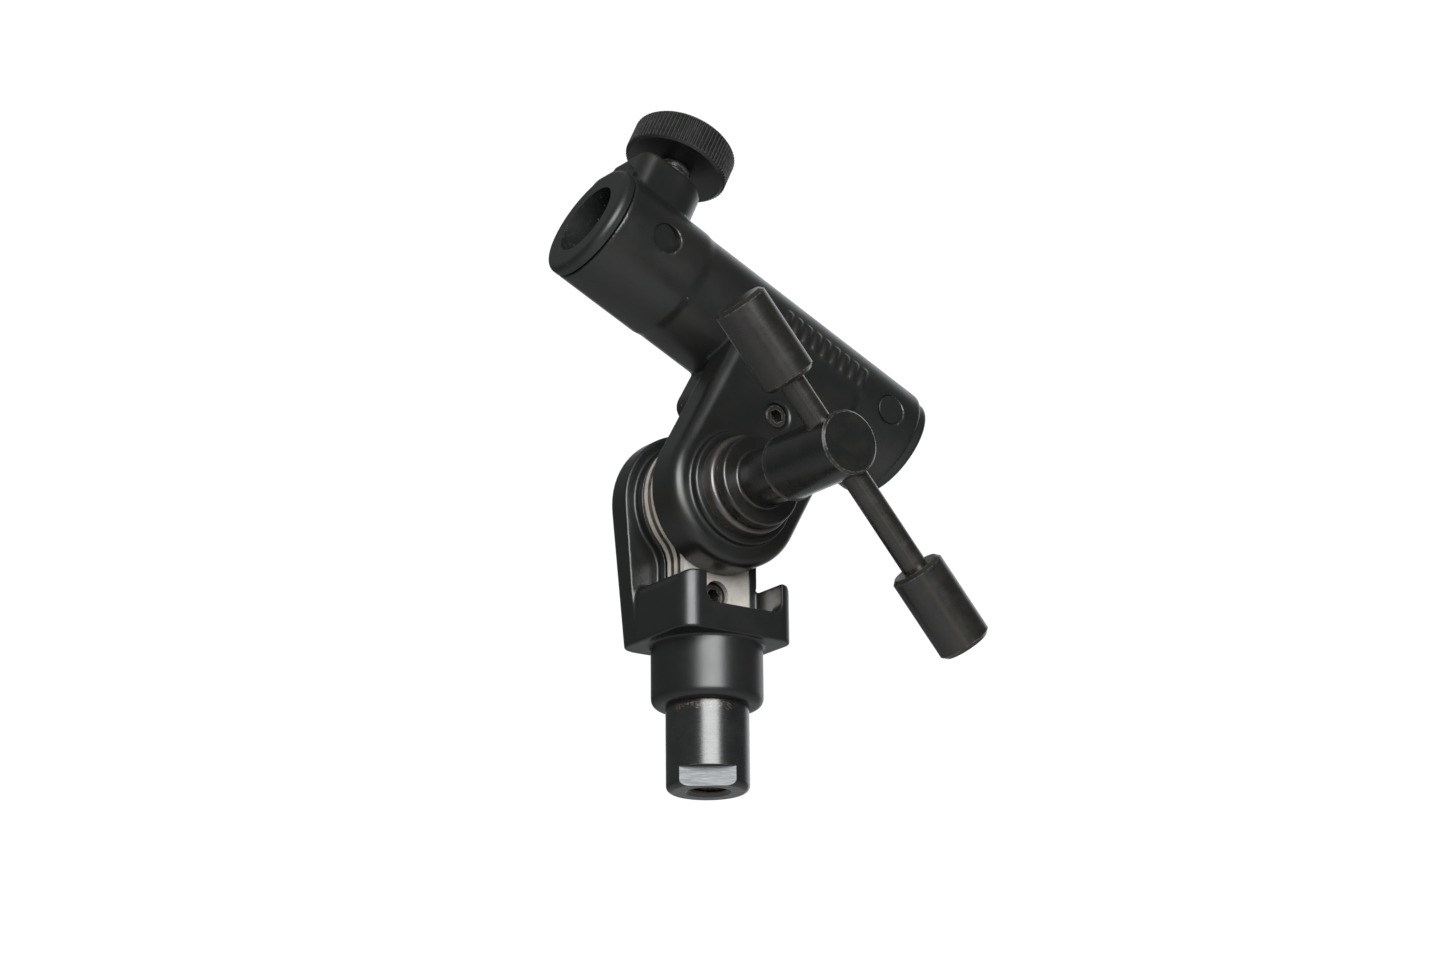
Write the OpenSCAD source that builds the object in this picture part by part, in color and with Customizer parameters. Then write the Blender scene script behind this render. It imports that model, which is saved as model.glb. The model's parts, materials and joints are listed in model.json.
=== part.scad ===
// Boom tilter: a fork on a round spigot, a stack of friction plates, and an arm
// that carries a clamp tube for a boom rod. A T-bolt through the pivot squeezes
// the plates; a knurled thumb screw locks the rod in the tube.
// The origin is the middle of the collar's underside, where the spigot starts.
// +Z runs up away from the spigot, the pivot runs along Y, and -Y is the side
// with the T-bolt.

/* [Spigot] */
// Diameter of the spigot
spigot_d = 19; // [18.5:0.1:19.5]
// Length of the spigot below the collar
spigot_len = 19.5; // [17:0.5:24]
// Thread of the hole in the spigot's bottom face (nominal diameter)
socket_thread_d = 10; // [8:1:10]

/* [Fork] */
// Diameter of the collar
collar_d = 25.6; // [25:0.1:26.4]
// Width of the fork block along X
block_w = 31; // [30:0.1:32]
// Depth of the fork block along Y
block_d = 27.7; // [27.4:0.1:28]
// Height of the pivot above the collar's underside
pivot_z = 48.2; // [47.5:0.1:49.5]

/* [Arm] */
// Tilt of the clamp tube below level
tilt = 25.2; // [0:0.2:60]
// Distance from the pivot to the axis of the clamp tube
tube_h = 43.3; // [43:0.1:46]
// Outer diameter of the clamp tube
tube_d = 27.8; // [27.4:0.1:28]
// Diameter of the boom rod that the tube takes
rod_d = 17.5; // [16:0.1:17.8]

/* [Clamp] */
// Thread of the T-bolt (nominal diameter)
bolt_d = 10; // [9:0.5:10]
// Diameter of the T-bar
bar_d = 5.9; // [5:0.1:6.2]
// How far the T-bar is slid off centre
bar_offset = 7; // [-15:0.5:15]
// Angle of the T-bar below level
bar_angle = 48.6; // [0:0.2:90]
// Diameter of the knurled knob
knob_d = 25; // [22:0.5:26]
// Number of grooves in the knurl
knob_grooves = 80; // [60:4:88]

/* [Hidden] */
$fn = 96;
eps = 0.01;

// Colours
black_coat = [0.15, 0.165, 0.16];
black_oxide = [0.11, 0.11, 0.12];
gunmetal = [0.22, 0.21, 0.2];
nickel = [0.78, 0.75, 0.7];
nylon = [0.12, 0.13, 0.13];
steel = [0.55, 0.55, 0.56];
bronze = [0.3, 0.27, 0.24];

// Stations along the pivot, measured from the middle of the fork toward -Y
plate_t = 1.4;
spacer_t = 1.2;
plate_pitch = plate_t + spacer_t;
stack_front = 4.2;
stack_rear = stack_front - 3 * plate_pitch;
arm_front = tube_d / 2 - 0.1;
pad_front = arm_front + 1.9;
cup_front = pad_front + 3.2;
cup_floor = pad_front + 1.6;
flange_rear = cup_front + 1;
flange_front = flange_rear + 2.5;
head_rear = 32.6;
head_front = 55.7;
bar_station = 50.3;
nut_rear = -16.9;
nut_h = 8;
nut_corner_r = 9.8;
nut_seat = -8.86;
bolt_rear = -18.5;
screw_rear = -11.1;
upper_screw_rear = -6;

// Friction plates
plate_r = 15.3;
upper_plate_r = plate_r - 0.45;
neck_r = 8;
neck_dip = 0.03;
tail_w = 18;
tail_hole = 22.5;
tail_end = 29;
plate_bore_r = bolt_d / 2 + 0.2;
screw_r = 3;
screw_gap = 0.15;
screw_sink = 1.5;
hex_socket_r = 1.73;
hex_socket_depth = 3.2;

// Fork
collar_edge_r = 2;
block_z = 14.3;
wall_top = 27.8;
wall_edge_r = 3;
notch_z = 20.8;
notch_corner_r = 2.6;
pocket_floor = 17.5;
pocket_left = -9.25;
pocket_right = 9.15;
lip_inner = 11.3;
front_wall_t = 3.3;
corner_r = 4.7;
cheek_front = -6.1;
cheek_rear = -block_d / 2;
cheek_r = 18;
cheek_edge_r = 3;
hub_r = 15.2;
rib_right = 11;
rib_flare = 0.7;
rib_top = 37;
rib_clear_r = 16;
rib_side_gap = pocket_right - tail_w / 2;
rib_gap = 0.3;
stub_r = 7;
stub_top = 11.5;
stub_room = 0.5;

// Spigot's bottom end
socket_r = socket_thread_d * 0.425;
socket_mouth_r = 5.2;
socket_mouth_h = 0.7;
socket_depth = 16;
spigot_edge_r = 1.5;
flat_half = 7.05;
flat_h = 4.45;
flat_turn = -35;

// Arm
web_lean = 4;
boss_r = 17.9;
arm_edge_r = 3;
pad_r = 13.5;
lug_half = 15.3;
lug_bottom = 18.3;
lug_rear = 7.5;
lug_corner_r = 4;
slot_rear = 4;
slot_gap = 0.1;
screw_mouth_h = 0.6;
tube_bore_r = 11.05;
mouth_r = 14.25;
mouth_start = -54;
mouth_gap = 0.4;
mouth_end = -31;
tube_end = 36.8;
mark_x = [-6, 19];
mark_count = 9;
mark_w = 1.3;
mark_half = 2.6;
mark_rise = 2.5;
mark_r = 14.25;

// Bushings
bush_r = tube_bore_r - 0.05;
bush_bore_r = rod_d / 2 + 0.1;
front_flange_t = 2.6;
front_flange_edge_r = 1.6;
ear_t = 1.5;
ear_half = 7.6;
rear_flange_t = 2.5;
rear_flange_r = 12.9;
front_sleeve_end = -35;
rear_sleeve_end = 21;
snap_r = 3.4;
snap_edge_r = 0.3;
snap_hole_r = 3.45;
front_snap_x = -41.8;
rear_snap_x = 28.2;
front_snap_r = 13.7;
front_snap_slope = 14;
rear_snap_slope = 4;
rear_snap_r = 13.7;

// Thumb screw
thumb_x = -41.7;
thumb_r = 4;
thread_gap = 0.05;
boss_half = 8.9;
boss_start = -53.1;
boss_end_x = -42.3;
boss_corner_r = 3.5;
boss_top = 64;
knob_bottom = 69.6;
knob_h = 8.3;
knob_chamfer = 0.9;
knob_bore_depth = 4;
groove_r = 0.42;
shoe_r = 2.9;
shoe_tip = tube_h + bush_bore_r + 0.15;
shoe_h = 3;

// T-bolt and its washers
cup_r = 11.6;
cup_inner_r = 10;
cup_edge_r = 1;
flange_r = 10.6;
flange_edge_r = 0.7;

// T-bar
cap_r = 6.25;
cap_len = 21;
cap_floor = 5;
bar_half = 46;
head_r = 7.4;
barrel_r = 6.6;
barrel_root_r = 0.7;

// Places the children in the frame of the arm: X along the tube, Z away from the pivot
module in_arm() {
    translate([0, 0, pivot_z]) rotate([0, tilt, 0]) children();
}

// Places the children in the frame of the arm's web, which leans a little more than the tube
module in_web() {
    translate([0, 0, pivot_z]) rotate([0, tilt + web_lean, 0]) children();
}

// Turns the children's +Z toward -Y, about the pivot
module along_pivot(start = 0) {
    translate([0, 0, pivot_z]) rotate([90, 0, 0]) translate([0, 0, start]) children();
}

// Turns the children's +Z along the tube
module along_tube(start = 0) {
    in_arm() translate([start, 0, tube_h]) rotate([0, 90, 0]) children();
}

// A disc with its top edge rounded
module soft_disc(r, h, edge) {
    rotate_extrude() {
        square([r - edge, h]);
        square([r, h - edge]);
        translate([r - edge, h - edge]) intersection() {
            circle(edge, $fn = 48);
            square(edge);
        }
    }
}

// A disc with both edges chamfered
module chamfered(r, h, c) {
    rotate_extrude() polygon([[0, 0], [r - c, 0], [r, c], [r, h - c], [r - c, h], [0, h]]);
}

// A rectangle with rounded corners, centred on the origin
module soft_rect(w, d, r) {
    square([w - 2 * r, d], center = true);
    square([w, d - 2 * r], center = true);
    for (x = [-1, 1], y = [-1, 1]) translate([x * (w / 2 - r), y * (d / 2 - r)]) circle(r, $fn = 48);
}

// Outline of one friction plate: a disc that narrows in two curves to a tail along +Y
module plate_outline(r, gap = 0) {
    half = tail_w / 2 + gap;
    curve_r = neck_r - gap;
    x = half + curve_r - neck_dip;
    y = sqrt(pow(r + curve_r - neck_dip, 2) - x * x);
    circle(r);
    translate([-half, 0]) square([2 * half, tail_end]);
    difference() {
        polygon([[0, 0], [x, y], [-x, y]]);
        for (side = [-1, 1]) translate([side * x, y]) circle(curve_r);
    }
}

module friction_plate(r, thickness) {
    linear_extrude(thickness) difference() {
        plate_outline(r);
        circle(plate_bore_r);
        translate([0, tail_hole]) circle(screw_r + screw_gap);
    }
}

// Hexagon socket set screw, socket at the top
module set_screw(length) {
    difference() {
        chamfered(screw_r, length, 0.5);
        translate([0, 0, length - hex_socket_depth])
            cylinder(r = hex_socket_r, h = hex_socket_depth + 1, $fn = 6);
    }
}

module spigot() {
    color(black_oxide) difference() {
        union() {
            mirror([0, 0, 1]) soft_disc(spigot_d / 2, spigot_len, spigot_edge_r);
            cylinder(r = stub_r, h = stub_top);
        }
        translate([0, 0, -spigot_len - eps]) {
            cylinder(r = socket_r, h = socket_depth);
            cylinder(r1 = socket_mouth_r, r2 = socket_r, h = socket_mouth_h);
            rotate(flat_turn) translate([-spigot_d, -flat_half - spigot_d, 0])
                cube([2 * spigot_d, spigot_d, flat_h + eps]);
        }
    }
}

// The fork's rear cheek: a round top on flared sides, its outer edge rounded
module cheek() {
    hull() {
        translate([0, -cheek_front, pivot_z]) rotate([-90, 0, 0])
            soft_disc(cheek_r, cheek_front - cheek_rear, cheek_edge_r, $fn = 64);
        translate([0, 0, block_z]) linear_extrude(1) intersection() {
            soft_rect(block_w, block_d, corner_r);
            translate([-block_w / 2, -cheek_front]) square([block_w, block_d]);
        }
    }
}

// Front view of the block with its top corners rounded
module block_outline() {
    h = wall_top - block_z;
    translate([-block_w / 2, 0]) square([block_w, h - wall_edge_r]);
    translate([-block_w / 2 + wall_edge_r, 0]) square([block_w - 2 * wall_edge_r, h]);
    for (side = [-1, 1]) translate([side * (block_w / 2 - wall_edge_r), h - wall_edge_r])
        circle(wall_edge_r, $fn = 48);
}

module fork_block() {
    intersection() {
        translate([0, 0, block_z]) linear_extrude(wall_top - block_z) soft_rect(block_w, block_d, corner_r);
        translate([0, block_d, block_z]) rotate([90, 0, 0]) linear_extrude(2 * block_d) block_outline();
    }
}

// Rib beside the tails of the lower plates, on the side that the boom's weight pushes to
module guide_rib() {
    rear = 1 - cheek_front;
    difference() {
        translate([0, rear, 0]) rotate([90, 0, 0]) linear_extrude(rear + stack_front - rib_gap)
            polygon([[pocket_right, pocket_floor], [rib_right, pocket_floor],
                     [rib_right + rib_flare, rib_top], [pocket_right, rib_top]]);
        along_pivot(cheek_front - 2) mirror([0, 1, 0]) linear_extrude(20)
            plate_outline(rib_clear_r, rib_side_gap);
    }
}

// Raised face of the cheek that the last plate presses on, shaped like a plate
module cheek_pad() {
    along_pivot(cheek_front - 1) mirror([0, 1, 0]) linear_extrude(stack_rear - cheek_front + 1)
        plate_outline(hub_r);
    translate([-tail_w / 2, -stack_rear, pocket_floor - 1])
        cube([tail_w, stack_rear - cheek_front + 1, pivot_z - pocket_floor]);
}

module base_fork() {
    color(black_coat) difference() {
        union() {
            translate([0, 0, block_z + 1]) mirror([0, 0, 1])
                soft_disc(collar_d / 2, block_z + 1, collar_edge_r);
            difference() {
                fork_block();
                fork_pocket();
            }
            cheek();
            guide_rib();
            cheek_pad();
        }
        translate([0, 0, -eps]) cylinder(r = stub_r, h = stub_top + stub_room);
        along_pivot(cheek_rear - 1) cylinder(r = plate_bore_r, h = 2 * block_d);
        along_pivot(cheek_rear - 1) cylinder(r = nut_corner_r + 0.1, h = nut_seat - cheek_rear + 1, $fn = 6);
        translate([0, 0, -tail_hole]) along_pivot(screw_rear)
            cylinder(r = screw_r, h = stack_rear - screw_rear + eps);
    }
}

// Room for the plate tails, open at the top, and the notch through the front wall
module fork_pocket() {
    front = -block_d / 2 + front_wall_t;
    translate([pocket_left, front, pocket_floor])
        cube([pocket_right - pocket_left, -cheek_front - front, wall_top]);
    translate([pocket_left, front, pocket_floor])
        cube([lip_inner - pocket_left, -stack_front + rib_gap - front, wall_top]);
    translate([0, front + 1, 0]) rotate([90, 0, 0]) linear_extrude(front_wall_t + 2) notch_outline();
}

module notch_outline() {
    w = lip_inner - pocket_left;
    translate([pocket_left, notch_z + notch_corner_r]) square([w, wall_top]);
    translate([pocket_left + notch_corner_r, notch_z]) square([w - 2 * notch_corner_r, wall_top]);
    for (x = [pocket_left + notch_corner_r, lip_inner - notch_corner_r])
        translate([x, notch_z + notch_corner_r]) circle(notch_corner_r, $fn = 48);
}

// The lower plates hang their tails in the fork; 1 is the front one
module lower_plate(i) {
    color(nickel) along_pivot(stack_front - plate_t - (i - 1) * plate_pitch) mirror([0, 1, 0])
        friction_plate(plate_r, plate_t);
}

// The upper plates raise their tails into the arm, each behind a lower plate
module upper_plate(i) {
    color(nickel) in_web() rotate([90, 0, 0]) translate([0, 0, stack_front - i * plate_pitch])
        friction_plate(upper_plate_r, spacer_t);
}

module lower_plate_screw() {
    color(black_oxide) translate([0, 0, -tail_hole]) along_pivot(screw_rear)
        set_screw(stack_front - screw_sink - screw_rear);
}

module upper_plate_screw() {
    color(black_oxide) at_upper_screw() translate([0, 0, upper_screw_rear])
        set_screw(arm_front - screw_mouth_h - upper_screw_rear);
}

module upper_arm() {
    color(black_coat) difference() {
        union() {
            arm_web();
            clamp_tube();
            thumb_boss();
            arm_lug();
            mark_ribs();
        }
        along_tube(mouth_start - 1) cylinder(r = tube_bore_r, h = 100);
        along_pivot(-1) cylinder(r = plate_bore_r, h = 40);
        at_upper_screw() translate([0, 0, upper_screw_rear]) screw_hole(arm_front - upper_screw_rear);
        in_arm() translate([thumb_x, 0, tube_h]) cylinder(r = thumb_r + thread_gap, h = 40);
        for (x = [front_snap_x, rear_snap_x], side = [-1, 1])
            in_arm() translate([x, 0, tube_h]) rotate([side * 90, 0, 0]) cylinder(r = snap_hole_r, h = 20);
    }
}

// Cutter for a set screw's hole with a countersunk mouth
module screw_hole(depth) {
    mouth_r = screw_r + screw_mouth_h;
    rotate_extrude() polygon([[0, 0], [screw_r, 0], [screw_r, depth - screw_mouth_h], [mouth_r, depth],
                              [mouth_r, depth + 1], [0, depth + 1]]);
}

// The axis of the screw that holds the upper plates, +Z toward -Y
module at_upper_screw() {
    in_web() translate([0, 0, tail_hole]) rotate([90, 0, 0]) children();
}

// Cross-section of the arm's web: front corners rounded
module web_section() {
    translate([-boss_r, -arm_front + arm_edge_r]) square([2 * boss_r, arm_front - arm_edge_r - stack_front]);
    translate([-boss_r + arm_edge_r, -arm_front]) square([2 * (boss_r - arm_edge_r), arm_front - stack_front]);
    for (x = [-1, 1]) translate([x * (boss_r - arm_edge_r), -arm_front + arm_edge_r]) circle(arm_edge_r, $fn = 48);
}

module arm_web() {
    in_web() linear_extrude(tube_h) web_section();
    in_web() rotate([90, 0, 0]) translate([0, 0, stack_front])
        soft_disc(boss_r, arm_front - stack_front, arm_edge_r);
    along_pivot(arm_front - 1) soft_disc(pad_r, pad_front - arm_front + 1, 0.6);
}

module clamp_tube() {
    along_tube(0) soft_disc(tube_d / 2, tube_end, 1.2);
    along_tube(mouth_end) cylinder(r = tube_d / 2, h = -mouth_end + 1);
    along_tube(mouth_end) cylinder(r1 = mouth_r, r2 = tube_d / 2, h = 2);
    along_tube(mouth_start + mouth_gap) cylinder(r = mouth_r, h = mouth_end - mouth_start - mouth_gap);
}

// Boss for the thumb screw: flat toward the mouth, round behind
module thumb_boss() {
    w = boss_end_x - boss_start + boss_corner_r;
    in_arm() translate([0, 0, tube_h]) linear_extrude(boss_top - tube_h) {
        translate([boss_end_x, 0]) circle(boss_half);
        translate([boss_start + w / 2, 0]) soft_rect(w, 2 * boss_half, boss_corner_r);
    }
}

// Housing behind the web that takes the tails of the upper plates
module arm_lug() {
    slot_half = tail_w / 2 + slot_gap;
    in_web() difference() {
        translate([0, lug_rear, 0]) rotate([90, 0, 0]) linear_extrude(lug_rear + stack_front + 1)
            translate([0, (lug_bottom + tube_h) / 2]) soft_rect(2 * lug_half, tube_h - lug_bottom, lug_corner_r);
        translate([-slot_half, -arm_front, 0]) cube([2 * slot_half, arm_front + slot_rear, tail_end + slot_gap]);
    }
}

// Row of plain raised ribs on the side of the tube
module mark_ribs() {
    pitch = (mark_x[1] - mark_x[0] - mark_w) / (mark_count - 1);
    intersection() {
        along_tube(mark_x[0]) cylinder(r = mark_r, h = mark_x[1] - mark_x[0]);
        for (i = [0:mark_count - 1])
            in_arm() translate([mark_x[0] + i * pitch, -mark_r - 1, tube_h - mark_half + mark_rise])
                cube([mark_w, mark_r, 2 * mark_half]);
    }
}

// Flange of the front bushing: its outer edge rounded, and an ear that follows the thumb boss
module front_flange() {
    along_tube(mouth_start) mirror([0, 0, 1]) soft_disc(mouth_r, front_flange_t, front_flange_edge_r);
    along_tube(mouth_start - ear_t) linear_extrude(ear_t)
        translate([-ear_half, 0]) soft_rect(2 * ear_half, 2 * boss_half - 1, 3);
}

// Snap studs on both sides of a bushing; their faces slope down toward the tube's far end
module snap_studs(x, top, slope) {
    for (side = [-1, 1]) in_arm() translate([x, 0, tube_h]) rotate([side * 90, 0, 0]) difference() {
        translate([0, 0, bush_bore_r + 0.5]) soft_disc(snap_r, top - bush_bore_r - 0.5, snap_edge_r);
        translate([-snap_r, -snap_r - 1, top]) rotate([0, slope, 0]) cube([4 * snap_r, 2 * snap_r + 2, snap_r]);
    }
}

module front_bushing() {
    color(nylon) difference() {
        union() {
            front_flange();
            along_tube(mouth_start - 1) cylinder(r = bush_r, h = front_sleeve_end - mouth_start + 1);
            snap_studs(front_snap_x, front_snap_r, front_snap_slope);
        }
        along_tube(-60) cylinder(r = bush_bore_r, h = 60);
        in_arm() translate([thumb_x, 0, tube_h]) cylinder(r = thumb_r + 0.3, h = 40);
    }
}

module rear_bushing() {
    color(nylon) difference() {
        union() {
            along_tube(tube_end) soft_disc(rear_flange_r, rear_flange_t, 1);
            along_tube(rear_sleeve_end) cylinder(r = bush_r, h = tube_end - rear_sleeve_end + 1);
            snap_studs(rear_snap_x, rear_snap_r, rear_snap_slope);
        }
        along_tube(0) cylinder(r = bush_bore_r, h = 60);
    }
}

module cup_washer() {
    color(bronze) difference() {
        along_pivot(pad_front) soft_disc(cup_r, cup_front - pad_front, cup_edge_r);
        along_pivot(cup_floor) cylinder(r = cup_inner_r, h = 10);
        along_pivot(0) cylinder(r = plate_bore_r, h = 40);
    }
}

module thrust_washer() {
    color(black_oxide) difference() {
        along_pivot(cup_floor) cylinder(r = cup_inner_r - 0.3, h = flange_rear - cup_floor);
        along_pivot(0) cylinder(r = plate_bore_r, h = 40);
    }
}

module clamp_bolt() {
    color(black_oxide) along_pivot() {
        translate([0, 0, bolt_rear]) chamfered(bolt_d / 2, flange_rear - bolt_rear + 1, 1);
        translate([0, 0, flange_rear]) soft_disc(flange_r, flange_front - flange_rear, flange_edge_r);
        translate([0, 0, flange_front - eps]) rotate_extrude() difference() {
            square([barrel_r + barrel_root_r, barrel_root_r]);
            translate([barrel_r + barrel_root_r, barrel_root_r]) circle(barrel_root_r, $fn = 48);
        }
        translate([0, 0, flange_front]) cylinder(r = barrel_r, h = 44 - flange_front);
    }
}

module in_bar() {
    translate([0, -bar_station, pivot_z]) rotate([0, 90 + bar_angle, 0]) children();
}

module t_head() {
    color(gunmetal) difference() {
        along_pivot(head_rear) rotate_extrude() polygon([
            [0, 0], [head_r - 0.2, 0], [head_r + 0.3, 0.6], [head_r, 1.2],
            [head_r, head_front - head_rear - 0.5], [head_r - 0.5, head_front - head_rear],
            [0, head_front - head_rear]]);
        along_pivot(head_rear - eps) cylinder(r = barrel_r, h = 44 - head_rear + eps);
        in_bar() translate([0, 0, -20]) cylinder(r = bar_d / 2 + 0.06, h = 40);
    }
}

module clamp_nut() {
    color(steel) difference() {
        along_pivot(nut_rear) intersection() {
            cylinder(r = nut_corner_r, h = nut_h, $fn = 6);
            chamfered(nut_corner_r - 0.1, nut_h, 0.7);
        }
        along_pivot(nut_rear - 1) cylinder(r = bolt_d / 2 + thread_gap, h = nut_h + 2);
    }
}

module t_bar() {
    color(gunmetal) in_bar() translate([0, 0, bar_offset - bar_half + cap_floor])
        cylinder(r = bar_d / 2, h = 2 * (bar_half - cap_floor));
}

// End cap of the T-bar; its closed end points along side
module bar_cap(side) {
    color(gunmetal) in_bar() translate([0, 0, bar_offset + side * bar_half]) rotate([side > 0 ? 180 : 0, 0, 0])
        difference() {
            chamfered(cap_r, cap_len, 0.9);
            translate([0, 0, cap_floor]) cylinder(r = bar_d / 2, h = cap_len);
        }
}

module clamp_shoe() {
    color(bronze) in_arm() translate([thumb_x, 0, shoe_tip]) chamfered(shoe_r, shoe_h, 0.4);
}

module thumb_screw() {
    color(black_oxide) in_arm() translate([thumb_x, 0, shoe_tip + shoe_h])
        chamfered(thumb_r, knob_bottom + knob_bore_depth - shoe_tip - shoe_h, 0.4);
}

module knurled_knob() {
    color(black_oxide) in_arm() translate([thumb_x, 0, knob_bottom]) difference() {
        chamfered(knob_d / 2, knob_h, knob_chamfer);
        translate([0, 0, -1]) for (i = [0:knob_grooves - 1]) rotate(i * 360 / knob_grooves)
            translate([knob_d / 2, 0]) cylinder(r = groove_r, h = knob_h + 2, $fn = 16);
        translate([0, 0, -eps]) cylinder(r = thumb_r, h = knob_bore_depth + eps);
    }
}

spigot();
base_fork();
lower_plate(1);  // lower_plate_1
lower_plate(2);  // lower_plate_2
lower_plate(3);  // lower_plate_3
lower_plate_screw();
upper_plate(1);  // upper_plate_1
upper_plate(2);  // upper_plate_2
upper_plate(3);  // upper_plate_3
upper_plate_screw();
upper_arm();
front_bushing();
rear_bushing();
cup_washer();
thrust_washer();
clamp_bolt();
t_head();
clamp_nut();
t_bar();
bar_cap(-1);  // t_bar_upper_cap
bar_cap(1);  // t_bar_lower_cap
clamp_shoe();
thumb_screw();
knurled_knob();
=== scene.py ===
"""Looks for the boom tilter: camera, studio light, materials and the cast and threaded pieces."""
import json
import math

import bmesh
import bpy
from mathutils import Euler, Matrix, Vector


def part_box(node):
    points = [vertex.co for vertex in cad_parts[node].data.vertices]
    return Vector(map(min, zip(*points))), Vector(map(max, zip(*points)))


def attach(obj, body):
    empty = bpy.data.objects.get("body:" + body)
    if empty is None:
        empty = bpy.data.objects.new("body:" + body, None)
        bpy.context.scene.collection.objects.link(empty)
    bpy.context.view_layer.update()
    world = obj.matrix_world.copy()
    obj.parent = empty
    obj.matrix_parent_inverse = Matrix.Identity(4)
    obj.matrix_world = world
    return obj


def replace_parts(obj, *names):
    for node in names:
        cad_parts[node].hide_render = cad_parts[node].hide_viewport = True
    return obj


MM = 0.001

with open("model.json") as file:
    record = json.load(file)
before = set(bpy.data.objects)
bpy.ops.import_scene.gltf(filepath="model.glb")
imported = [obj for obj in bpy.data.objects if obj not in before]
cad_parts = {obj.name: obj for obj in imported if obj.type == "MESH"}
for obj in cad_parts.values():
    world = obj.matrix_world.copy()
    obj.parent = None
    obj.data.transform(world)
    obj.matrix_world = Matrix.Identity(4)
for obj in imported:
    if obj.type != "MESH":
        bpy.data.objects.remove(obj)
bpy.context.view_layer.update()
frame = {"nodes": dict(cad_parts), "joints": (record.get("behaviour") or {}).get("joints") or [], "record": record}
scene = bpy.context.scene

# ---------------------------------------------------------------- the part's own axes, from the frame

joints = {j["name"]: j for j in frame["joints"]}
couplings = {c["joint"]: c for c in frame["record"]["behaviour"]["couplings"]}
pivot = Vector(joints["arm_tilt"]["pos_m"])
away = -Vector(joints["thumb_travel"]["axis"])    # from the pivot toward the knob
across = Vector((0, 1, 0))
along = across.cross(away)                        # down the clamp tube
bar_axis = Vector(joints["bar_slide"]["axis"])
mounts = {m["name"]: m for m in frame["record"]["mounts"]}
bore = mounts["boom_bore"]
socket = mounts["spigot_thread"]
spigot_low, spigot_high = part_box("spigot")
spigot_r = spigot_high.x

# ---------------------------------------------------------------- camera

CAMERA_AZIMUTH = -35.08
CAMERA_ELEVATION = -17.36
CAMERA_ROLL = -0.616
CAMERA_DISTANCE = 0.8476
CAMERA_AIM = Vector((-8.71, -19.33, 47.1)) * MM
CAMERA_LENS = 94.06
FLAT_AZIMUTH = -35
RUB_AZIMUTH = -42


def direction(azimuth, elevation):
    """Unit vector toward a place in the studio; azimuth 0 is -Y and 90 is +X."""
    a, e = math.radians(azimuth), math.radians(elevation)
    return Vector((math.sin(a) * math.cos(e), -math.cos(a) * math.cos(e), math.sin(e)))


flat_dir = direction(FLAT_AZIMUTH, 0)
rub_dir = direction(RUB_AZIMUTH, 0)


def look_from(obj, aim, azimuth, elevation, distance, roll=0.0):
    back = direction(azimuth, elevation)
    turn = back.to_track_quat("Z", "Y").to_matrix().to_4x4()
    obj.matrix_world = (Matrix.Translation(aim + back * distance) @ turn
                        @ Matrix.Rotation(math.radians(roll), 4, "Z"))


def make_camera():
    data = bpy.data.cameras.new("camera")
    data.lens = CAMERA_LENS
    data.sensor_width = 36
    data.clip_start = 0.01
    data.clip_end = 50
    camera = bpy.data.objects.new("camera", data)
    scene.collection.objects.link(camera)
    look_from(camera, CAMERA_AIM, CAMERA_AZIMUTH, CAMERA_ELEVATION, CAMERA_DISTANCE, CAMERA_ROLL)
    scene.camera = camera


# ---------------------------------------------------------------- shader graphs

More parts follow.
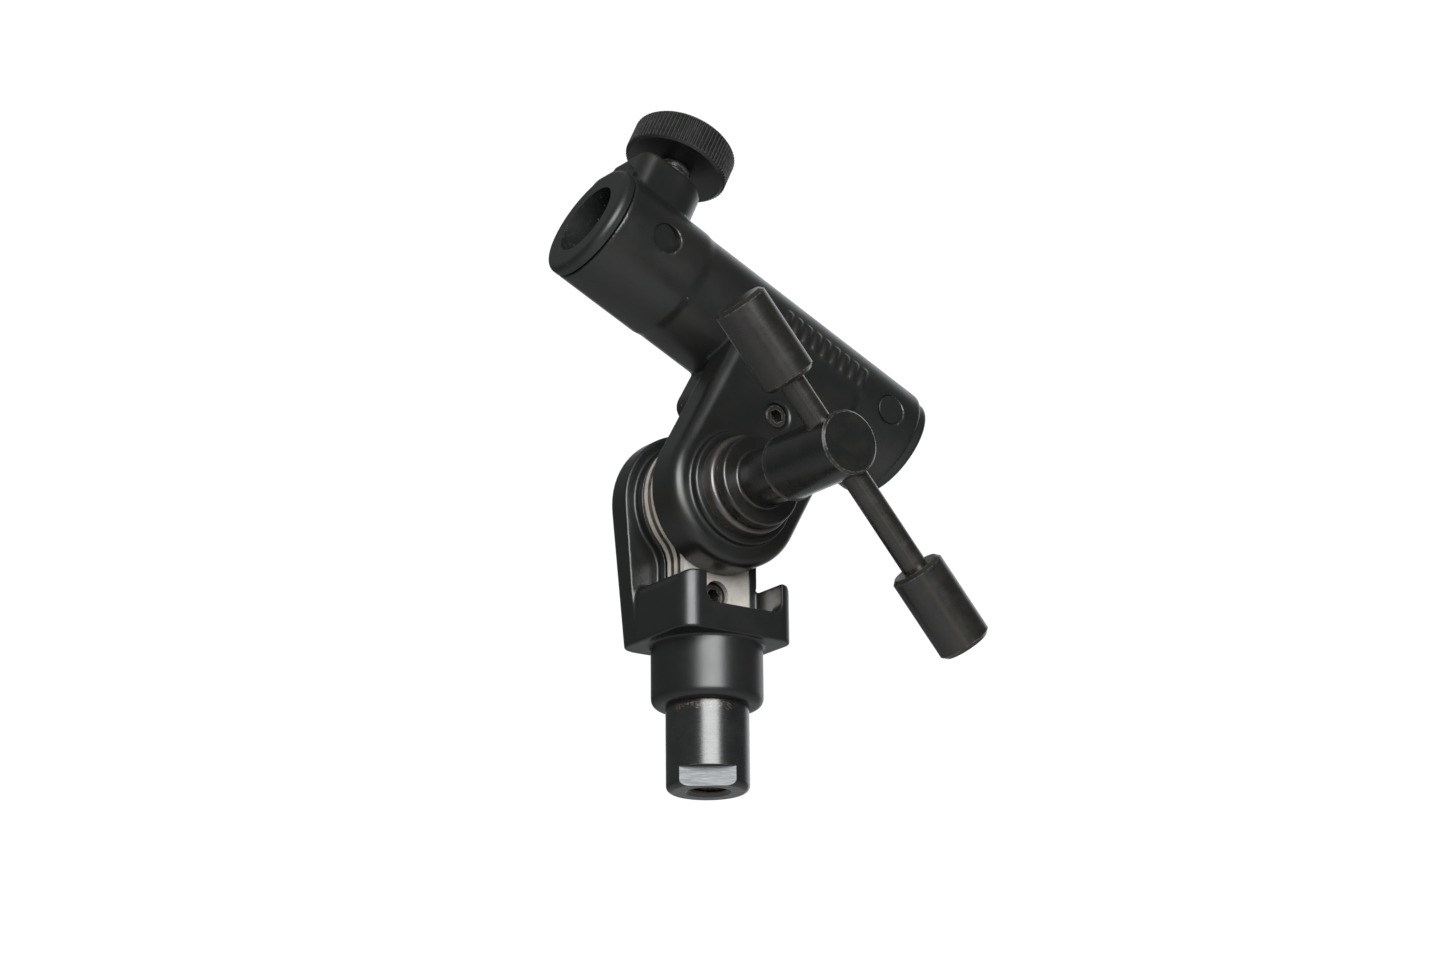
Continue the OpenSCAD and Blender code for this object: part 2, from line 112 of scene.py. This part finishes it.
class Graph:
    """A material's or world's node tree; add() makes a node, with inputs given as values or sockets."""

    def __init__(self, owner):
        owner.use_nodes = True
        self.tree = owner.node_tree
        self.tree.nodes.clear()

    def add(self, kind, inputs=None, **settings):
        node = self.tree.nodes.new("ShaderNode" + kind)
        for key, value in settings.items():
            setattr(node, key, value)
        for key, value in (inputs or {}).items():
            self.put(node.inputs[key], value)
        return node

    def put(self, socket, value):
        if isinstance(value, bpy.types.NodeSocket):
            self.tree.links.new(value, socket)
        else:
            if isinstance(value, tuple) and len(value) == 3 and socket.type == "RGBA":
                value = (*value, 1.0)
            socket.default_value = value

    def math(self, operation, *values, clamp=False):
        return self.add("Math", dict(enumerate(values)), operation=operation, use_clamp=clamp).outputs[0]

    def vector(self, operation, *values):
        node = self.add("VectorMath", dict(enumerate(values)), operation=operation)
        return node.outputs["Value" if operation in ("DOT_PRODUCT", "LENGTH") else "Vector"]

    def mix(self, factor, low, high):
        node = self.add("Mix", data_type="RGBA")
        self.put(node.inputs["Factor"], factor)
        self.put(node.inputs[6], low)
        self.put(node.inputs[7], high)
        return node.outputs[2]

    def remap(self, value, start, end, low=0.0, high=1.0):
        return self.add("MapRange", {"Value": value, "From Min": start, "From Max": end, "To Min": low,
                                     "To Max": high}, interpolation_type="SMOOTHSTEP").outputs["Result"]

    def place(self, stretch=(1, 1, 1), turn=(0, 0, 0)):
        """The point on the piece in millimetres, turned and then squeezed along its axes."""
        point = self.add("TexCoord").outputs["Object"]
        turned = self.add("Mapping", {"Vector": point, "Rotation": turn}).outputs["Vector"]
        return self.vector("MULTIPLY", turned, tuple(1000 * s for s in stretch))

    def noise(self, where, scale, detail=3.0, rough=0.5, distortion=0.0):
        return self.add("TexNoise", {"Vector": where, "Scale": scale, "Detail": detail, "Roughness": rough,
                                     "Distortion": distortion}).outputs[0]

    def specks(self, where, pitch, size, share):
        """Small round spots, size mm across, in some of the cells of a grid of that pitch in mm."""
        cell = self.add("TexVoronoi", {"Vector": where, "Scale": 1 / pitch})
        spot = self.remap(cell.outputs["Distance"], size / pitch, 0.5 * size / pitch)
        chosen = self.add("SeparateColor", {"Color": cell.outputs["Color"]}).outputs[0]
        return self.math("MULTIPLY", spot, self.math("LESS_THAN", chosen, share))

    def helix(self, where, centre, pitch):
        """Height of a screw thread, 0 to 1, round the upright axis through centre (mm)."""
        point = self.add("SeparateXYZ", {"Vector": self.vector("SUBTRACT", where, centre)})
        turns = self.math("DIVIDE", self.math("ARCTAN2", point.outputs["Y"], point.outputs["X"]), 2 * math.pi)
        climb = self.math("SUBTRACT", self.math("DIVIDE", point.outputs["Z"], pitch), turns)
        return self.math("MULTIPLY", self.math("PINGPONG", climb, 0.5), 2.0)

    def edges(self, radius):
        """1 on convex and concave edges, 0 on open faces."""
        soft = self.add("Bevel", {"Radius": radius}, samples=4).outputs["Normal"]
        flat = self.add("NewGeometry").outputs["Normal"]
        return self.remap(self.vector("DOT_PRODUCT", soft, flat), 0.985, 0.86)

    def bump(self, height, depth, normal=None):
        """Normal for a height of 0 to 1 that stands for depth mm."""
        node = self.add("Bump", {"Height": height, "Distance": depth * MM, "Strength": 1.0})
        if normal is not None:
            self.put(node.inputs["Normal"], normal)
        return node.outputs["Normal"]

    def finish(self, **inputs):
        shader = self.add("BsdfPrincipled", {k.replace("_", " "): v for k, v in inputs.items()})
        output = self.add("OutputMaterial")
        self.tree.links.new(shader.outputs[0], output.inputs["Surface"])


def material(name):
    made = bpy.data.materials.new(name)
    return made, Graph(made)


# ---------------------------------------------------------------- materials

def coated_casting(name, base, rough, cloud, speck_share):
    """Satin black coat over a zinc casting: soft orange peel, cloudy sheen, dust and rubbed edges."""
    made, g = material(name)
    where = g.place()
    clouds = g.noise(where, 0.09, 4, 0.6)
    peel = g.noise(where, 1.5, 2, 0.5)
    grain = g.noise(where, 7.0, 2, 0.6)
    dust = g.specks(g.vector("ADD", where, (3.1, 7.7, 1.3)), 3.2, 0.12, speck_share)
    rubbed = g.math("MULTIPLY", g.edges(0.5 * MM), g.remap(g.noise(where, 0.55, 4, 0.7), 0.52, 0.74))
    warm = tuple(c * k for c, k in zip(base, (1.3, 1.08, 0.98)))
    tone = g.mix(g.remap(clouds, 0.35, 0.7), base, warm)
    tone = g.mix(g.math("MULTIPLY", rubbed, 0.35), tone, (0.10, 0.085, 0.07))
    tone = g.mix(dust, tone, (0.42, 0.41, 0.38))
    sheen = g.math("ADD", g.remap(clouds, 0.3, 0.7, rough - cloud, rough + cloud),
                   g.remap(grain, 0.3, 0.7, -0.025, 0.025))
    surface = g.bump(peel, 0.006, g.bump(grain, 0.0012))
    g.finish(Base_Color=tone, Roughness=sheen, Normal=surface, IOR=1.5)
    return made


def moulded(name, base, rough):
    """Satin moulded plastic: fine grain, faint flow marks, a few light scuffs."""
    made, g = material(name)
    where = g.place()
    grain = g.noise(where, 5.0, 3, 0.6)
    flow = g.noise(g.place((0.05, 0.4, 0.05)), 1.0, 3, 0.5)
    scuff = g.remap(g.noise(g.place((0.3, 2.5, 0.3)), 1.0, 5, 0.7, 0.6), 0.66, 0.74)
    dust = g.specks(where, 2.4, 0.1, 0.12)
    tone = g.mix(g.remap(flow, 0.35, 0.7), base, tuple(1.35 * c for c in base))
    tone = g.mix(g.math("MAXIMUM", g.math("MULTIPLY", scuff, 0.2), dust), tone, (0.3, 0.29, 0.27))
    worn = g.math("ADD", grain, g.math("MULTIPLY", scuff, 0.3))
    sheen = g.remap(worn, 0.3, 0.8, rough - 0.04, rough + 0.06)
    g.finish(Base_Color=tone, Roughness=sheen, Normal=g.bump(grain, 0.002), IOR=1.5)
    return made


def turned_metal(name, base, brown, rough, turn, fine, specular, metallic=0.0, wear=0.7):
    """Blackened turned steel: rings round the axis that turn sends to Z, brown bloom, rubbed edges."""
    made, g = material(name)
    where = g.place()
    rings = g.noise(g.place((0.04, 0.04, fine), turn), 1.0, 4, 0.7)
    bloom = g.noise(where, 0.25, 5, 0.65)
    blotch = g.noise(g.vector("ADD", where, (11.0, 2.0, 5.0)), 1.1, 4, 0.6)
    scratch = g.remap(g.noise(g.place((0.5, 0.5, 6.0), turn), 1.0, 5, 0.8, 0.8), 0.68, 0.73)
    rubbed = g.math("MULTIPLY", g.edges(0.35 * MM), g.remap(blotch, 0.4, 0.65))
    dust = g.specks(where, 2.7, 0.1, 0.1)
    tone = g.mix(g.remap(bloom, 0.4, 0.65), base, brown)
    tone = g.mix(g.math("MULTIPLY", scratch, 0.05), tone, (0.16, 0.15, 0.14))
    tone = g.mix(g.math("MULTIPLY", rubbed, wear), tone, (0.3, 0.28, 0.26))
    tone = g.mix(dust, tone, (0.4, 0.38, 0.35))
    sheen = g.math("ADD", g.remap(rings, 0.3, 0.7, rough - 0.03, rough + 0.04),
                   g.remap(bloom, 0.4, 0.7, -0.02, 0.03))
    surface = g.bump(rings, 0.0004, g.bump(blotch, 0.0003))
    g.finish(Base_Color=tone, Roughness=sheen, Normal=surface, Metallic=metallic, IOR=specular)
    return made


def bright_plate(name, base, rough, stain):
    """Nickel-plated sheet steel: brushed grain, oil stains, rust at the cut edges."""
    made, g = material(name)
    where = g.place()
    brushed = g.noise(g.place((0.35, 1.0, 9.0), (0, 0.25, 0)), 1.0, 3, 0.6)
    oil = g.noise(where, 0.32, 4, 0.6)
    rust = g.math("MULTIPLY", g.edges(0.25 * MM), g.remap(g.noise(where, 0.9, 5, 0.7), 0.35, 0.6))
    tone = g.mix(g.remap(oil, 0.45, 0.72), base, stain)
    tone = g.mix(g.math("MULTIPLY", rust, 0.75), tone, (0.19, 0.105, 0.055))
    pits = g.specks(where, 1.5, 0.14, 0.2)
    tone = g.mix(g.math("MULTIPLY", pits, 0.6), tone, (0.1, 0.07, 0.05))
    worn = g.math("ADD", brushed, g.math("MULTIPLY", oil, 0.5))
    sheen = g.remap(worn, 0.5, 1.0, rough - 0.06, rough + 0.12)
    g.finish(Base_Color=tone, Roughness=sheen, Metallic=0.6, Normal=g.bump(brushed, 0.002))
    return made


def threaded_steel(name, base, crest, turn, centre, pitch):
    """Steel with a screw thread cut in it, with a painted highlight along the crests."""
    made, g = material(name)
    where = g.place((1, 1, 1), turn)
    height = g.helix(where, centre, pitch)
    grime = g.noise(where, 1.2, 4, 0.6)
    painted_crest_highlight = g.math("MULTIPLY", g.remap(height, 0.65, 0.95), g.remap(grime, 0.35, 0.6, 0.4, 1.0))
    # The crests get a lighter colour: a painted highlight along the thread.
    tone = g.mix(painted_crest_highlight, base, crest)
    g.finish(Base_Color=tone, Roughness=g.remap(grime, 0.3, 0.7, 0.28, 0.42), Metallic=0.5,
             Normal=g.bump(height, 0.35))
    return made


def milled_steel(name):
    """Bare steel cut by a mill: horizontal strokes, some dark."""
    made, g = material(name)
    strokes = g.noise(g.place((0.25, 0.25, 5.0)), 1.0, 5, 0.75)
    dark = g.remap(g.noise(g.place((0.8, 0.8, 3.0)), 1.0, 4, 0.7, 0.5), 0.58, 0.7)
    tone = g.mix(g.remap(strokes, 0.35, 0.65), (0.11, 0.115, 0.12), (0.19, 0.195, 0.203))
    tone = g.mix(g.math("MULTIPLY", dark, 0.5), tone, (0.06, 0.052, 0.045))
    g.finish(Base_Color=tone, Roughness=g.remap(strokes, 0.3, 0.7, 0.62, 0.5), Metallic=0.25,
             Normal=g.bump(strokes, 0.006))
    return made


def spigot_steel(name):
    """Glossy black-oxide steel with upright wear lines and a coppery rub where it meets its socket."""
    made, g = material(name)
    where = g.place()
    rings = g.noise(g.place((0.05, 0.05, 5.0)), 1.0, 3, 0.6)
    bloom = g.noise(where, 0.22, 5, 0.6)
    height = g.add("SeparateXYZ", {"Vector": where}).outputs["Z"]
    ragged = g.math("ADD", height, g.remap(g.noise(where, 0.8, 5, 0.75), 0.3, 0.7, -1.0, 1.0))
    band = g.math("MULTIPLY", g.remap(ragged, -1.9, -1.4), g.remap(ragged, -0.4, -0.9))
    front = g.remap(g.vector("DOT_PRODUCT", where, tuple(rub_dir)), 6.0, 9.2)
    flecks = g.remap(g.noise(g.place((1.6, 1.6, 2.6)), 1.0, 6, 0.75), 0.46, 0.6)
    rub = g.math("MULTIPLY", g.math("MULTIPLY", band, front), flecks)
    scratch = g.remap(g.noise(g.place((2.2, 2.2, 0.12)), 1.0, 4, 0.8, 0.4), 0.66, 0.74)
    edge = g.math("MULTIPLY", g.edges(0.3 * MM), g.remap(g.noise(where, 1.0, 4, 0.6), 0.45, 0.65))
    tone = g.mix(g.remap(bloom, 0.4, 0.7), (0.007, 0.0078, 0.0075), (0.0105, 0.0105, 0.0095))
    tone = g.mix(g.math("MULTIPLY", scratch, 0.06), tone, (0.2, 0.19, 0.17))
    tone = g.mix(g.math("MULTIPLY", edge, 0.3), tone, (0.28, 0.26, 0.23))
    tone = g.mix(g.math("MULTIPLY", rub, 0.35), tone, (0.45, 0.3, 0.2))
    sheen = g.math("ADD", g.remap(rings, 0.3, 0.7, 0.24, 0.28), g.remap(bloom, 0.4, 0.7, 0.0, 0.03))
    g.finish(Base_Color=tone, Roughness=sheen, Normal=g.bump(rings, 0.0002), IOR=1.62)
    return made


def rusty_bore(name):
    """Oily, brown inside of a tapped hole."""
    made, g = material(name)
    where = g.place()
    crust = g.noise(where, 1.4, 5, 0.7)
    tone = g.mix(g.remap(crust, 0.4, 0.65), (0.012, 0.0095, 0.008), (0.085, 0.05, 0.028))
    g.finish(Base_Color=tone, Roughness=g.remap(crust, 0.3, 0.7, 0.4, 0.65), Metallic=0.5,
             Normal=g.bump(crust, 0.03))
    return made


def bore_lining(name):
    """Dusty inside of the bushings."""
    made, g = material(name)
    where = g.place()
    dust = g.math("MAXIMUM", g.specks(where, 0.9, 0.12, 0.3),
                  g.specks(g.vector("ADD", where, (5.3, 1.1, 2.9)), 1.7, 0.2, 0.25))
    smear = g.remap(g.noise(where, 0.8, 5, 0.7), 0.5, 0.75)
    tone = g.mix(g.math("MULTIPLY", smear, 0.3), (0.008, 0.009, 0.009), (0.05, 0.042, 0.034))
    tone = g.mix(dust, tone, (0.16, 0.14, 0.11))
    g.finish(Base_Color=tone, Roughness=g.remap(smear, 0.0, 1.0, 0.5, 0.7),
             Normal=g.bump(smear, 0.01), IOR=1.3)
    return made


def floor_paint(name):
    """Pale studio floor with the faintest mottling."""
    made, g = material(name)
    mottle = g.noise(g.place((0.004, 0.004, 0.004)), 1.0, 3, 0.5)
    tone = g.mix(mottle, (0.82, 0.82, 0.815), (0.86, 0.86, 0.855))
    g.finish(Base_Color=tone, Roughness=g.remap(mottle, 0.3, 0.7, 0.75, 0.9))
    return made


TURN_TO_PIVOT = (math.radians(90), 0, 0)              # sends Y to Z
TURN_TO_BAR = (0, math.atan2(-bar_axis.x, bar_axis.z), 0)
TURN_TO_AWAY = (0, math.atan2(-away.x, away.z), 0)

SOCKET_PITCH = 1.5
SOCKET_THREAD_LEN = 12 * MM
SOCKET_RIDGE = 0.45 * MM
THUMB_R = 4 * MM
THUMB_ROOT_R = 3.4 * MM
BOLT_THREAD_START = 4 * MM
thumb_pitch = 2 * math.pi / couplings["thumb_turn"]["ratio"] / MM
bolt_pitch = 2 * math.pi / couplings["clamp_turn"]["ratio"] / MM


def axis_place(point, turn):
    """Where an axis through point stands once turn has made it upright, in mm."""
    return tuple(Euler(turn).to_matrix() @ point / MM)


looks = {
    "fork_coat": coated_casting("fork_coat", (0.0055, 0.0068, 0.0065), 0.36, 0.035, 0.08),
    "arm_coat": coated_casting("arm_coat", (0.0058, 0.0066, 0.0062), 0.35, 0.04, 0.12),
    "nylon": moulded("nylon", (0.006, 0.0068, 0.0065), 0.42),
    "bore": bore_lining("bore"),
    "spigot_steel": spigot_steel("spigot_steel"),
    "flat_steel": milled_steel("flat_steel"),
    "rusty_bore": rusty_bore("rusty_bore"),
    "plate": bright_plate("plate", (0.8, 0.77, 0.71), 0.32, (0.68, 0.62, 0.53)),
    # Dark rusty look for the upper plates; the same look is painted shade on the rear lower plates' faces.
    "dark_plate_and_gap_shade": bright_plate("dark_plate_and_gap_shade", (0.16, 0.13, 0.1), 0.42, (0.08, 0.05, 0.03)),
    "screw": turned_metal("screw", (0.01, 0.01, 0.01), (0.02, 0.017, 0.014), 0.3, TURN_TO_PIVOT, 3.0, 1.6),
    "bolt": turned_metal("bolt", (0.006, 0.0062, 0.006), (0.01, 0.009, 0.0075), 0.3, TURN_TO_PIVOT, 5.0, 1.6),
    "head": turned_metal("head", (0.0052, 0.0056, 0.0054), (0.0085, 0.0078, 0.0068), 0.3, TURN_TO_PIVOT,
                         6.0, 1.55),
    "bar": turned_metal("bar", (0.007, 0.0065, 0.0055), (0.013, 0.011, 0.0085), 0.3, TURN_TO_BAR, 5.0, 1.6),
    "cap": turned_metal("cap", (0.006, 0.0058, 0.0052), (0.01, 0.0085, 0.007), 0.31, TURN_TO_BAR, 6.0, 1.58),
    "cup": turned_metal("cup", (0.02, 0.017, 0.0145), (0.036, 0.028, 0.022), 0.33, TURN_TO_PIVOT, 3.0, 1.8),
    "knob": turned_metal("knob", (0.0055, 0.0057, 0.0058), (0.008, 0.0075, 0.0068), 0.36, TURN_TO_AWAY,
                         4.0, 1.5, wear=0.12),
    "thumb": turned_metal("thumb", (0.02, 0.02, 0.02), (0.035, 0.03, 0.025), 0.3, TURN_TO_AWAY, 3.0, 1.8),
    # The lighter crest colour of the bolt thread is a painted highlight.
    "bolt_thread": threaded_steel("bolt_thread", (0.02, 0.02, 0.02), (0.3, 0.28, 0.25), TURN_TO_PIVOT,
                                  axis_place(pivot, TURN_TO_PIVOT), bolt_pitch),
    "nut": turned_metal("nut", (0.3, 0.3, 0.29), (0.25, 0.22, 0.18), 0.32, TURN_TO_PIVOT, 3.0, 1.5, 1.0),
}

LOOK_OF = {
    "lower_plate_1": "plate", "lower_plate_2": "plate", "lower_plate_3": "plate",
    "upper_plate_1": "dark_plate_and_gap_shade", "upper_plate_2": "dark_plate_and_gap_shade", "upper_plate_3": "dark_plate_and_gap_shade",
    "lower_plate_screw": "screw", "upper_plate_screw": "screw", "cup_washer": "cup", "thrust_washer": "bolt",
    "clamp_bolt": "bolt", "t_head": "head", "clamp_nut": "nut", "t_bar": "bar", "t_bar_upper_cap": "cap",
    "t_bar_lower_cap": "cap", "clamp_shoe": "cup", "knurled_knob": "knob", "front_bushing": "nylon",
    "rear_bushing": "nylon", "base_fork": "fork_coat", "upper_arm": "arm_coat", "thumb_screw": "thumb",
    "spigot": "spigot_steel",
}


FACING = 0.98
FLAT_HEIGHT = 4.6 * MM
FLAT_DEPTH = 2 * MM
SOCKET_R = 4.4 * MM
SOCKET_MOUTH = 1 * MM
SOCKET_TOP = -2 * MM
BORE_SLACK = 0.2 * MM


def paint(obj, *names):
    obj.data.materials.clear()
    for name in names:
        obj.data.materials.append(looks[name])


def assign_faces(obj, index, chosen):
    """Gives the faces that chosen(centre, normal) picks the material in that slot."""
    for face in obj.data.polygons:
        if chosen(face.center, face.normal):
            face.material_index = index


def paint_frame():
    for name, look in LOOK_OF.items():
        obj = frame["nodes"][name]
        paint(obj, look)
        for face in obj.data.polygons:
            face.material_index = 0
    spigot = frame["nodes"]["spigot"]
    paint(spigot, "spigot_steel", "flat_steel", "rusty_bore")
    bottom = spigot_low.z
    assign_faces(spigot, 1, lambda c, n: n.dot(flat_dir) > FACING and c.z < bottom + FLAT_HEIGHT
                 and c.dot(flat_dir) < spigot_r - FLAT_DEPTH)
    assign_faces(spigot, 2, lambda c, n: c.xy.length < SOCKET_R and bottom + SOCKET_MOUTH < c.z < SOCKET_TOP)
    # The flat faces of the two rear lower plates get the dark plate look: painted shade in the narrow gaps between
    # the plates, with some grime.
    for name in ("lower_plate_2", "lower_plate_3"):
        paint(frame["nodes"][name], "plate", "dark_plate_and_gap_shade")
        assign_faces(frame["nodes"][name], 1, lambda c, n: abs(n.y) > FACING)
    paint(frame["nodes"]["clamp_bolt"], "bolt", "bolt_thread")
    assign_faces(frame["nodes"]["clamp_bolt"], 1, lambda c, n: c.y > BOLT_THREAD_START)
    bore_point = Vector(bore["pos_m"])
    bore_r = bore["dims"]["r_mm"] * MM

    def in_bore(centre, normal):
        arm = centre - bore_point
        radial = arm - along * arm.dot(along)
        return radial.length < bore_r + BORE_SLACK and radial.dot(normal) < -0.5 * radial.length

    for name in ("front_bushing", "rear_bushing"):
        paint(frame["nodes"][name], "nylon", "bore")
        assign_faces(frame["nodes"][name], 1, in_bore)


# ---------------------------------------------------------------- pieces that replace or join CAD nodes

def add_piece(name, mesh, body, slot, *names):
    piece = bpy.data.objects.new(name, mesh)
    scene.collection.objects.link(piece)
    paint(piece, *names)
    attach(piece, body)
    return piece


def cast(node, name, body, voxel, passes):
    """A casting with every edge softened: the CAD node remeshed finely and relaxed."""
    source = frame["nodes"][node]
    work = bpy.data.objects.new(name + "_work", source.data.copy())
    scene.collection.objects.link(work)
    remesh = work.modifiers.new("remesh", "REMESH")
    remesh.mode = "VOXEL"
    remesh.voxel_size = voxel
    relax = work.modifiers.new("relax", "SMOOTH")
    relax.factor = 0.5
    relax.iterations = passes
    shape = work.evaluated_get(bpy.context.evaluated_depsgraph_get())
    mesh = bpy.data.meshes.new_from_object(shape)
    mesh.name = name
    bpy.data.objects.remove(work)
    mesh.polygons.foreach_set("use_smooth", [True] * len(mesh.polygons))
    piece = add_piece(name, mesh, body, "black_coat", LOOK_OF[node])
    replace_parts(piece, node)
    return piece


THREAD_SIDES = 48
ROWS_PER_TURN = 12


def thread_mesh(name, start, axis, length, root, crest, pitch, wall=None):
    """A screw thread of real depth; with a wall radius it is the lining of a tapped hole instead."""
    side = axis.orthogonal().normalized()
    other = axis.cross(side)
    rows = int(ROWS_PER_TURN * length / pitch)
    bm = bmesh.new()

    def ring(height, radius_at):
        made = []
        for j in range(THREAD_SIDES):
            angle = 2 * math.pi * j / THREAD_SIDES
            spoke = side * math.cos(angle) + other * math.sin(angle)
            made.append(bm.verts.new(start + axis * height + spoke * radius_at(height, j / THREAD_SIDES)))
        return made

    def flank(height, turn):
        wave = abs(2 * ((height / pitch - turn) % 1.0) - 1)
        rise = min(max(1.4 * wave - 0.2, 0.0), 1.0) * abs(crest - root)
        rise = min(rise, height, length - height)
        return root + math.copysign(rise, crest - root)

    rings = [ring(length * i / rows, flank) for i in range(rows + 1)]
    if wall:
        rings += [ring(length, lambda *_: wall), ring(0.0, lambda *_: wall)]
        rings.append(rings[0])
    else:
        bm.faces.new(rings[0])
        bm.faces.new(rings[-1])
    for low, high in zip(rings, rings[1:]):
        for j in range(THREAD_SIDES):
            k = (j + 1) % THREAD_SIDES
            bm.faces.new((low[j], low[k], high[k], high[j]))
    bmesh.ops.recalc_face_normals(bm, faces=bm.faces)
    mesh = bpy.data.meshes.new(name)
    bm.to_mesh(mesh)
    bm.free()
    return mesh


def thread_thumb_screw():
    """The thumb screw with its thread cut, in place of the plain CAD rod."""
    axis_point = Vector(joints["thumb_turn"]["pos_m"])
    spots = [(Vector(v.co) - axis_point).dot(away) for v in frame["nodes"]["thumb_screw"].data.vertices]
    low, high = min(spots), max(spots)
    mesh = thread_mesh("thumb_thread", axis_point + away * low, away, high - low, THUMB_ROOT_R, THUMB_R,
                       thumb_pitch * MM)
    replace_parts(add_piece("thumb_thread", mesh, "thumb", "black_oxide", "thumb"), "thumb_screw")


def thread_socket():
    """The thread in the spigot's hole, from the end of the countersink upward."""
    start = Vector(socket["pos_m"])
    up = -Vector(socket["axis"])
    hole_r = socket["dims"]["r_mm"] * MM
    mesh = thread_mesh("socket_thread", start, up, SOCKET_THREAD_LEN, hole_r, hole_r - SOCKET_RIDGE,
                       SOCKET_PITCH * MM, wall=hole_r + SOCKET_RIDGE)
    add_piece("socket_thread", mesh, "base", "black_oxide", "rusty_bore")


# ---------------------------------------------------------------- studio

def make_world():
    world = bpy.data.worlds.new("studio")
    scene.world = world
    g = Graph(world)
    where = g.add("TexCoord").outputs["Generated"]

    def glow(azimuth, elevation, inner, outer):
        facing = g.vector("DOT_PRODUCT", where, tuple(direction(azimuth, elevation)))
        return g.remap(facing, math.cos(math.radians(outer)), math.cos(math.radians(inner)))

    backdrop = glow(azimuth=128, elevation=19, inner=14, outer=40)
    upper = glow(azimuth=-100, elevation=60, inner=10, outer=80)
    below = glow(azimuth=-60, elevation=-70, inner=10, outer=75)
    tone = g.mix(backdrop, (0.11, 0.115, 0.115), (1.25, 1.27, 1.3))
    tone = g.mix(g.math("MULTIPLY", below, 0.75), tone, (0.02, 0.02, 0.02))
    tone = g.mix(g.math("MULTIPLY", upper, 0.35), tone, (0.5, 0.52, 0.52))
    light = g.add("Background", {"Color": tone, "Strength": 1.0})
    seen = g.add("Background", {"Color": (1.0, 1.0, 1.0), "Strength": 1.05})
    camera_ray = g.add("LightPath").outputs["Is Camera Ray"]
    both = g.add("MixShader", {0: camera_ray, 1: light.outputs[0], 2: seen.outputs[0]})
    output = g.add("OutputWorld")
    g.tree.links.new(both.outputs[0], output.inputs["Surface"])


def softbox(name, azimuth, elevation, distance, width, height, radiance, color):
    data = bpy.data.lights.new(name, "AREA")
    data.shape = "RECTANGLE"
    data.size = width
    data.size_y = height
    data.energy = radiance * math.pi * width * height
    data.color = color
    lamp = bpy.data.objects.new(name, data)
    scene.collection.objects.link(lamp)
    look_from(lamp, CAMERA_AIM, azimuth, elevation, distance)


FLOOR_Z = -1.1
FLOOR_R = 6


def make_floor():
    bpy.ops.mesh.primitive_circle_add(vertices=96, radius=FLOOR_R, fill_type="NGON", location=(0, 0, FLOOR_Z))
    floor = bpy.context.object
    floor.name = "floor"
    floor.data.materials.append(floor_paint("floor_paint"))


# ---------------------------------------------------------------- build

make_camera()
make_world()
softbox("key", azimuth=-26, elevation=15, distance=1.3, width=1.05, height=0.85,
        radiance=12.5, color=(0.98, 0.99, 1.0))
softbox("low_bounce", azimuth=-20, elevation=-31, distance=1.2, width=0.42, height=0.3,
        radiance=1.1, color=(1.0, 0.82, 0.7))
make_floor()
paint_frame()
cast("base_fork", "fork_casting", "base", voxel=0.3 * MM, passes=10)
cast("upper_arm", "arm_casting", "arm", voxel=0.32 * MM, passes=10)
thread_thumb_screw()
thread_socket()

scene.view_settings.view_transform = "Standard"
scene.view_settings.look = "None"
